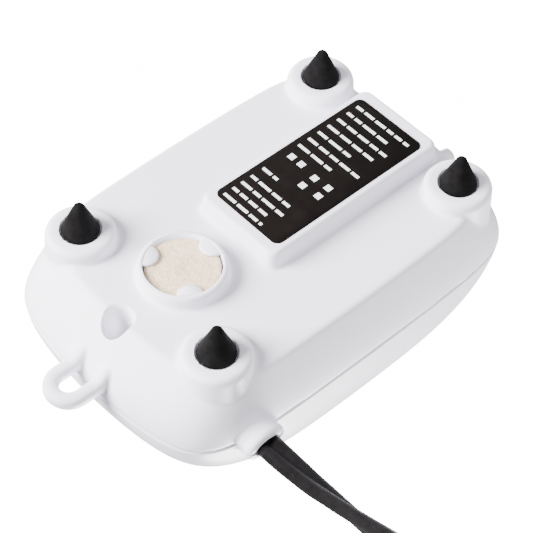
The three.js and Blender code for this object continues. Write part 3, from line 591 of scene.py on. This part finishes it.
def lower_bowl(name, inset, top):
    """The lower half: steep at the parting plane, leaning in to a soft crease round the flat floor."""
    bottom = FLOOR_Z + inset
    depth = PARTING_Z - FLOOR_Z
    rings = []
    for level in np.linspace(0, 1, 40):
        z = bottom + (top - bottom) * level ** 1.8
        under = min(1.0, max(0.0, (PARTING_Z - z + inset) / depth))
        into = max(0.0, (under * depth - depth + CREASE) / CREASE)
        drawn_in = CREASE * (1 - math.sqrt(max(0.0, 1 - into ** 2)))
        half_x = HALF_LENGTH - inset - LEAN_X * under ** 1.5 - drawn_in
        half_y = HALF_WIDTH - inset - LEAN_Y * under ** 1.5 - drawn_in
        rings.append(outline(half_x, half_y, SQUARENESS, z))
    return skin(name, rings)


def upper_dome(name, inset, base):
    """The upper half: a dome that is rounder along its length than across."""
    height = TOP_Z - inset - PARTING_Z
    start = max(0.0, (base - PARTING_Z) / height)
    almost_top = 0.9985
    rings = []
    for level in np.linspace(0, 1, 56):
        rise = start + (almost_top - start) * math.sin(level * math.pi / 2)
        half_x = (HALF_LENGTH - inset) * math.sqrt(1 - rise ** 2)
        half_y = (HALF_WIDTH - inset) * (1 - rise ** 3) ** (1 / 3)
        square = SQUARENESS - (SQUARENESS - 3) * rise
        z = base if level == 0 else PARTING_Z + height * rise
        rings.append(outline(half_x, half_y, square, z))
    return skin(name, rings)


# ---------------------------------------------------------------- lower shell
FOOT_X, FOOT_Y = 33.0, 20.4
FOOT_PLACES = [(-FOOT_X, -FOOT_Y), (FOOT_X, -FOOT_Y), (FOOT_X, FOOT_Y), (-FOOT_X, FOOT_Y)]
BOSS_FACE = 7.3
PLINTH = {"x0": -10.5, "x1": 37.5, "half_y": 11.3, "face": 6.1}
FILTER_X = -23.8
RING_FACE = 7.1
FELT_FACE = 7.9
RECESS_X = -40.3
SCREW_SEAT = 22.5
RECESS_RADIUS = 3.35
LOOP = {"x": -53.1, "radius": 3.65, "half_width": 1.6, "low": 19.4, "high": 22.6, "root_low": 17.0}
COLLAR_HALF_X, COLLAR_HALF_Z = 4.7, 3.2
# half the width and half the height of the cord's hole, and where it starts and ends
CORD_WAY = (3.1, 1.75, 22, 40)
SKIN_GRAIN, SKIN_ROUNDING = 0.34, 3
# past everything in x and y
FAR_X, FAR_Y = 90, 60


def foot_boss(i, x, y):
    """A drum with a rounded rim round the foot."""
    profile = [(0, BOSS_FACE), (5.7, BOSS_FACE), (6.45, 7.5), (7.0, 8.05), (7.2, 8.8), (7.5, 16), (0, 16)]
    return turned(f"boss_{i}", profile, at=(x, y, 0))


def label_plinth():
    """The raised block that carries the label, with drafted sides."""
    face = PLINTH["face"]
    sides = [(face, -1.1), (face + 0.3, -0.6), (face + 1, -0.4), (12, 0.2)]
    return rounded_block("plinth", PLINTH, [(z, out, 2.2 + out / 2) for z, out in sides])


def filter_ring():
    """The low drum round the felt. Its seat is cut out later."""
    profile = [(0, RING_FACE), (8.5, RING_FACE), (8.95, 7.3), (9.1, 7.9), (9.25, 11.3), (0, 11.3)]
    return turned("ring", profile, at=(FILTER_X, 0, 0))


def hang_loop():
    """A rounded bar bent into a U, whose arms deepen where they run into the sloping end."""
    radius = LOOP["radius"]
    arm = np.linspace(-45, LOOP["x"], 18)
    bend = np.linspace(math.pi / 2, 1.5 * math.pi, 30)[1:-1]
    path = [(x, radius, 0, 1) for x in arm]
    path += [(LOOP["x"] + radius * c, radius * s, c, s) for c, s in zip(np.cos(bend), np.sin(bend))]
    path += [(x, -radius, 0, -1) for x in arm[::-1]]
    across, rise = squared_circle(28, 2.6)
    across = LOOP["half_width"] * across
    root_start, root_run = -50.5, 5
    rings = []
    for x, y, out_x, out_y in path:
        low = LOOP["low"] - (LOOP["low"] - LOOP["root_low"]) * ease((x - root_start) / root_run)
        middle_z, half_z = (low + LOOP["high"]) / 2, (LOOP["high"] - low) / 2
        z = middle_z + half_z * rise
        rings.append(np.column_stack([x + out_x * across, y + out_y * across, z]))
    return skin("loop", np.array(rings)[:, ::-1])


def oval(half_x, half_z, y):
    """An upright oval round the cord where it leaves the housing."""
    c, s = np.cos(around(64)), np.sin(around(64))
    return np.column_stack([CORD_X + half_x * c, np.full(64, y), PARTING_Z + half_z * s])


def cord_way():
    """The oval hole the cord leaves through, half in each shell."""
    half_x, half_z, start, end = CORD_WAY
    return skin("cord_way", [oval(half_x, half_z, y) for y in (end, start)])


def collar():
    """The oval sleeve the cord leaves through, with a rounded lip."""
    lip = [(34.3, -1.0), (34.25, -0.55), (34.0, -0.15), (33.55, 0.1), (33.0, 0.15), (32.4, 0), (27, 0)]
    return skin("collar", [oval(COLLAR_HALF_X + out, COLLAR_HALF_Z + out, y) for y, out in lip])


def retaining_tabs():
    """Three rounded tabs that reach in over the felt."""
    profile = [(0, 7.14), (2.35, 7.14), (2.65, 7.35), (2.65, 7.85), (0, 7.85)]
    tabs = []
    for i, turn in enumerate(around(3)):
        at = (FILTER_X + 7.8 * math.cos(turn), 7.8 * math.sin(turn), 0)
        tabs.append(turned(f"tab_{i}", profile, at=at))
    keep = turned("keep", [(0, 6), (8.4, 6), (8.4, 9), (0, 9)], at=(FILTER_X, 0, 0))
    joined = combine(tabs[0], "UNION", tabs[1:])
    return combine(joined, "INTERSECT", [keep])


def lower_shell():
    """The lower shell: its outside is moulded in one skin, then hollowed and drilled."""
    edge = PARTING_Z - GAP / 2
    shell = lower_bowl("lower_housing", 0, edge)
    features = [foot_boss(i, x, y) for i, (x, y) in enumerate(FOOT_PLACES)]
    combine(shell, "UNION", [*features, label_plinth(), filter_ring(), hang_loop()])
    below = block("below", (-FAR_X, -FAR_Y, -10), (FAR_X, FAR_Y, edge))
    combine(shell, "UNION", [combine(collar(), "INTERSECT", [below])])
    mould(shell, SKIN_GRAIN, SKIN_ROUNDING)
    trim = block("trim", (-FAR_X, -FAR_Y, edge), (FAR_X, FAR_Y, 40))
    hollow = lower_bowl("hollow", WALL, edge + 3)
    cuts = [trim, hollow, cord_way()]
    cuts.append(turned("seat", [(0, 5), (8.0, 5), (8.0, 9.9), (0, 9.9)], at=(FILTER_X, 0, 0)))
    socket = [(0, 5), (4.3, 5), (4.3, 8.1), (2.5, 8.1), (2.5, 13.2), (0, 13.2)]
    for i, (x, y) in enumerate(FOOT_PLACES):
        cuts.append(turned(f"socket_{i}", socket, at=(x, y, 0)))
    # six air holes in a ring behind the felt, and one in the middle
    holes = [(4 * math.cos(turn), 4 * math.sin(turn)) for turn in around(6)] + [(0, 0)]
    for i, (x, y) in enumerate(holes):
        cuts.append(turned(f"inlet_{i}", [(0, 9), (1.1, 9), (1.1, 14), (0, 14)],
                           at=(FILTER_X + x, y, 0), sides=24))
    combine(shell, "DIFFERENCE", cuts)
    inside = turned("recess_wall", [(0, 10), (4.9, 10), (4.9, 24.4), (0, 24.4)], at=(RECESS_X, 0, 0))
    within = lower_bowl("within", 0.6, edge)
    combine(inside, "INTERSECT", [within])
    combine(shell, "UNION", [inside, retaining_tabs()])
    recess = [(0, 4), (RECESS_RADIUS, 4), (RECESS_RADIUS, SCREW_SEAT)]
    screw_hole = [(1.8, SCREW_SEAT), (1.8, 27), (0, 27)]
    combine(shell, "DIFFERENCE", [turned("recess", recess + screw_hole, at=(RECESS_X, 0, 0))])
    shell.data.shade_smooth()
    return settle(shell, SLOTS["white_plastic"], "white_plastic", "lower_shell")


OUTLET_Z = 31


def upper_shell():
    """The domed cover, with its half of the cord's collar, the outlet's hole and the screw's post."""
    edge = PARTING_Z + GAP / 2
    shell = upper_dome("upper_housing", 0, edge)
    above = block("above", (-FAR_X, -FAR_Y, edge), (FAR_X, FAR_Y, 60))
    combine(shell, "UNION", [combine(collar(), "INTERSECT", [above])])
    hole = turned("outlet_hole", [(0, 36), (3.2, 36), (3.2, 52), (0, 52)], at=(0, 0, OUTLET_Z), axis="x")
    combine(shell, "DIFFERENCE", [upper_dome("hollow", WALL, PARTING_Z - 1), cord_way(), hole])
    post = turned("post", [(0, 24.8), (3.2, 24.8), (3.2, 44), (0, 44)], at=(RECESS_X, 0, 0))
    combine(post, "INTERSECT", [upper_dome("under", 0.8, PARTING_Z - 3)])
    combine(shell, "UNION", [post])
    drill = turned("drill", [(0, 20), (1.7, 20), (1.7, 35.5), (0, 35.5)], at=(RECESS_X, 0, 0), sides=32)
    combine(shell, "DIFFERENCE", [drill])
    shell.data.shade_smooth()
    return settle(shell, SLOTS["white_plastic"], "white_plastic", "upper_shell")


# ---------------------------------------------------------------- feet, felt, label, outlet and cup
def cone_foot(i, x, y):
    """A rubber cone with a rounded tip, straight sides and a rounded edge where it meets its boss."""
    tip, lean = 1.25, math.radians(22.7)
    top_r, top_z = 3.72, 6.8
    bends = np.linspace(0, math.pi / 2 - lean, 9)
    profile = [(tip * math.sin(a), tip * (1 - math.cos(a))) for a in bends]
    low_r, low_z = profile[-1]
    profile += [(low_r + (top_r - low_r) * t, low_z + (top_z - low_z) * t) for t in np.linspace(0.1, 1, 10)]
    edge = [(3.84, 7.15), (3.88, 7.45), (3.8, 7.75)]
    stem = [(1.8, 7.78), (1.8, 10.6), (2.2, 11), (1.6, 12.8), (0, 12.8)]
    profile += edge + stem
    foot = turned(f"cone_foot_{i + 1}", profile, at=(x, y, 0), sides=80)
    return settle(foot, SLOTS["foot_rubber"], "foot_rubber", f"foot_{i + 1}")


def felt_pad():
    """The felt disc: a soft, slightly uneven face with a frayed edge."""
    spread = np.random.default_rng(7)
    count, sides = 46, 150
    radius, unevenness, back = 7.62, 0.035, 9.6
    c, s = np.cos(around(sides)), np.sin(around(sides))
    fray = radius + spread.normal(0, unevenness, sides)
    rings = []
    for r in np.linspace(0.002, 1, count):
        fall = 0.22 * max(0.0, (r - 0.94) / 0.06) ** 2
        fluff = spread.normal(0, unevenness, sides) * min(1.0, 6 * r)
        z = FELT_FACE + 0.06 + fall + fluff
        rings.append(np.column_stack([FILTER_X + fray * r * c, fray * r * s, z]))
    rings.append(np.column_stack([FILTER_X + fray * c, fray * s, np.full(sides, back)]))
    return settle(skin("felt_pad", rings), SLOTS["felt"], "felt", "filter_felt")


LABEL = {"x0": -7.4, "x1": 33.9, "half_y": 9.35, "face": 5.92}


def label_plate():
    """The dark film label."""
    face, radius = LABEL["face"], 1.6
    levels = [(face, -0.05, radius), (face + 0.05, 0, radius), (face + 0.2, 0, radius)]
    return settle(rounded_block("label_film", LABEL, levels), SLOTS["label"], "label", "rating_label")


# each row of the label's bars: its place along +X and how far it runs across
LABEL_ROWS = [(31.4, 7.4), (28.6, 4.6), (25.8, 7.2), (23.0, 5.4), (20.2, 2.0), (17.4, 7.4), (14.6, 1.8),
              (4.6, -3.4), (1.4, 3.6), (-1.2, 5.4), (-3.6, 2.2), (-6.0, 3.4)]
LABEL_SQUARES = [(11.2, -6.2), (11.2, -3.4), (10.6, 1.2), (7.4, 1.0), (7.8, 5.2), (10.8, 5.0)]
ROW_START, ROW_GAP = -7.8, 0.6
BAR_HALF, SQUARE_HALF = 0.36, 0.75


def label_bars():
    """Plain pale bars and squares where a rating label has its lines: no lettering and no marks."""
    lengths = np.random.default_rng(11)
    points, faces = [], []

    def bar(x, y0, y1, half):
        first = len(points)
        points.extend([(x - half, y0, 0), (x + half, y0, 0), (x + half, y1, 0), (x - half, y1, 0)])
        faces.append((first + 3, first + 2, first + 1, first))

    for x, end in LABEL_ROWS:
        along = ROW_START
        while along < end - ROW_GAP:
            reach = min(along + lengths.uniform(1.6, 3.6), end)
            bar(x, along, reach, BAR_HALF)
            along = reach + ROW_GAP
    for x, y in LABEL_SQUARES:
        bar(x, y - SQUARE_HALF, y + SQUARE_HALF, SQUARE_HALF)
    low = np.array(points) + (0, 0, LABEL["face"] - 0.02)
    high = np.array(points) + (0, 0, LABEL["face"] + 0.03)
    count = len(points)
    solid_faces = list(faces)
    for face in faces:
        solid_faces.append(tuple(count + v for v in reversed(face)))
        solid_faces += [(face[k], face[k - 1], count + face[k - 1], count + face[k]) for k in range(4)]
    bars = add_mesh("label_bars", np.vstack([low, high]), solid_faces)
    bars.data.shade_flat()
    ink = surface("label_ink", [(0.62, 0.62, 0.63), (0.74, 0.74, 0.75)], (0.4, 0.5), 900.0, 3000.0)
    return settle(bars, ink, "label")


def outlet_tube():
    """The barbed outlet for the air hose."""
    profile = [(1.2, 38), (1.7, 38), (1.9, 41), (2.9, 41), (2.9, 47), (3.75, 47), (3.9, 47.2), (3.9, 48.2),
               (3.7, 48.4), (1.9, 48.4), (1.9, 51.8), (2.3, 52.2), (2.25, 52.5), (1.8, 55), (1.2, 55)]
    tube = turned("hose_outlet", profile, at=(0, 0, OUTLET_Z), axis="x", sides=64, looped=True)
    return settle(tube, SLOTS["white_plastic"], "white_plastic", "outlet_nozzle")


def diaphragm_cup():
    """The rubber cup between arm and pump head."""
    near, fixed, far = -2.6, 2.5, 4.1
    axis_y, axis_z = -5.6, 27
    wall = np.linspace(near + 1.9, far, 9)
    profile = [(1.4, near), (4.9, near), (5.6, near - 0.6), (6.3, near - 0.9), (7.0, near - 0.4),
               (7.4, near + 0.4), (7.5, near + 1.2)]
    profile += [(7.5, x) for x in wall]
    profile += [(6.7, x) for x in wall[::-1]]
    profile += [(6.4, near + 0.1), (5.7, near + 0.4), (5.1, near + 1), (1.4, near + 1)]
    cup = turned("diaphragm_cup", profile, at=(0, axis_y, axis_z), axis="x", looped=True)
    cup.data.materials.append(SLOTS["inner_rubber"])
    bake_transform(cup)
    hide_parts("diaphragm")


lower_shell()
upper_shell()
diaphragm_cup()
for index, (foot_x, foot_y) in enumerate(FOOT_PLACES):
    cone_foot(index, foot_x, foot_y)
felt_pad()
label_plate()
label_bars()
outlet_tube()

# ---------------------------------------------------------------- floor and light
TABLE_REACH = 6000
SKY_LIGHT = 0.72
BACKDROP_LIGHT = 16.0
MIDDLE_OF_PUMP = (0, 0, 0.02)


def mix_shaders(tree, factor, first, second, target):
    """Shows the second shader where the factor is 1, and the first elsewhere."""
    mix = tree.nodes.new("ShaderNodeMixShader")
    tree.links.new(factor, mix.inputs["Fac"])
    tree.links.new(first.outputs[0], mix.inputs[1])
    tree.links.new(second.outputs[0], mix.inputs[2])
    tree.links.new(mix.outputs[0], target.inputs["Surface"])


def lay_table():
    """A pale table that is clear from below, as the camera is under it."""
    reach = TABLE_REACH
    corners = [(-reach, -reach, 0), (reach, -reach, 0), (reach, reach, 0), (-reach, reach, 0)]
    table = add_mesh("table", corners, [(0, 1, 2, 3)])
    material = bpy.data.materials.new("table")
    material.use_nodes = True
    tree = material.node_tree
    tree.nodes.clear()
    output = tree.nodes.new("ShaderNodeOutputMaterial")
    pale = tree.nodes.new("ShaderNodeBsdfDiffuse")
    pale.inputs["Color"].default_value = (0.86, 0.86, 0.86, 1)
    clear = tree.nodes.new("ShaderNodeBsdfTransparent")
    side = tree.nodes.new("ShaderNodeNewGeometry")
    mix_shaders(tree, side.outputs["Backfacing"], pale, clear, output)
    table.data.materials.append(material)
    table.visible_shadow = False
    table.visible_diffuse = False
    table.visible_glossy = False


def light_sky():
    """An even sky that is brighter where it is seen directly, as the photograph's white ground is."""
    world = bpy.data.worlds.new("sky")
    world.use_nodes = True
    tree = world.node_tree
    sky = tree.nodes["Background"]
    backdrop = tree.nodes.new("ShaderNodeBackground")
    path = tree.nodes.new("ShaderNodeLightPath")
    sky.inputs["Color"].default_value = (0.97, 0.98, 1.0, 1)
    sky.inputs["Strength"].default_value = SKY_LIGHT
    backdrop.inputs["Color"].default_value = (1, 1, 1, 1)
    backdrop.inputs["Strength"].default_value = BACKDROP_LIGHT
    mix_shaders(tree, path.outputs["Is Camera Ray"], sky, backdrop, tree.nodes["World Output"])
    bpy.context.scene.world = world


def lamp(name, kind, energy, at):
    """A lamp that points at the middle of the pump."""
    light = bpy.data.lights.new(name, kind)
    light.energy = energy
    holder = bpy.data.objects.new(name, light)
    holder.location = at
    towards = Vector(MIDDLE_OF_PUMP) - Vector(at)
    holder.rotation_euler = towards.to_track_quat("-Z", "Y").to_euler()
    bpy.context.scene.collection.objects.link(holder)
    return holder


def glow(name, at, size, power):
    """A round soft box. One below the table lights the underside, and isn't mirrored in anything."""
    holder = lamp(name, "AREA", power, at)
    holder.data.shape = "DISK"
    holder.data.size = size
    holder.visible_glossy = at[2] > 0


def light_pump():
    """Two soft boxes below the table for the underside, and a wide sun and a soft box above it."""
    glow("key_below", (-0.62, -0.40, -0.42), 0.6, 60.0)
    glow("fill_below", (0.45, 0.62, -0.3), 0.6, 7.5)
    overhead = lamp("overhead", "SUN", 11.0, (0.1, 0.45, 0.85))
    overhead.data.angle = math.radians(40)
    glow("side_above", (0.5, -0.6, 0.35), 0.5, 10.0)


lay_table()
light_sky()
light_pump()
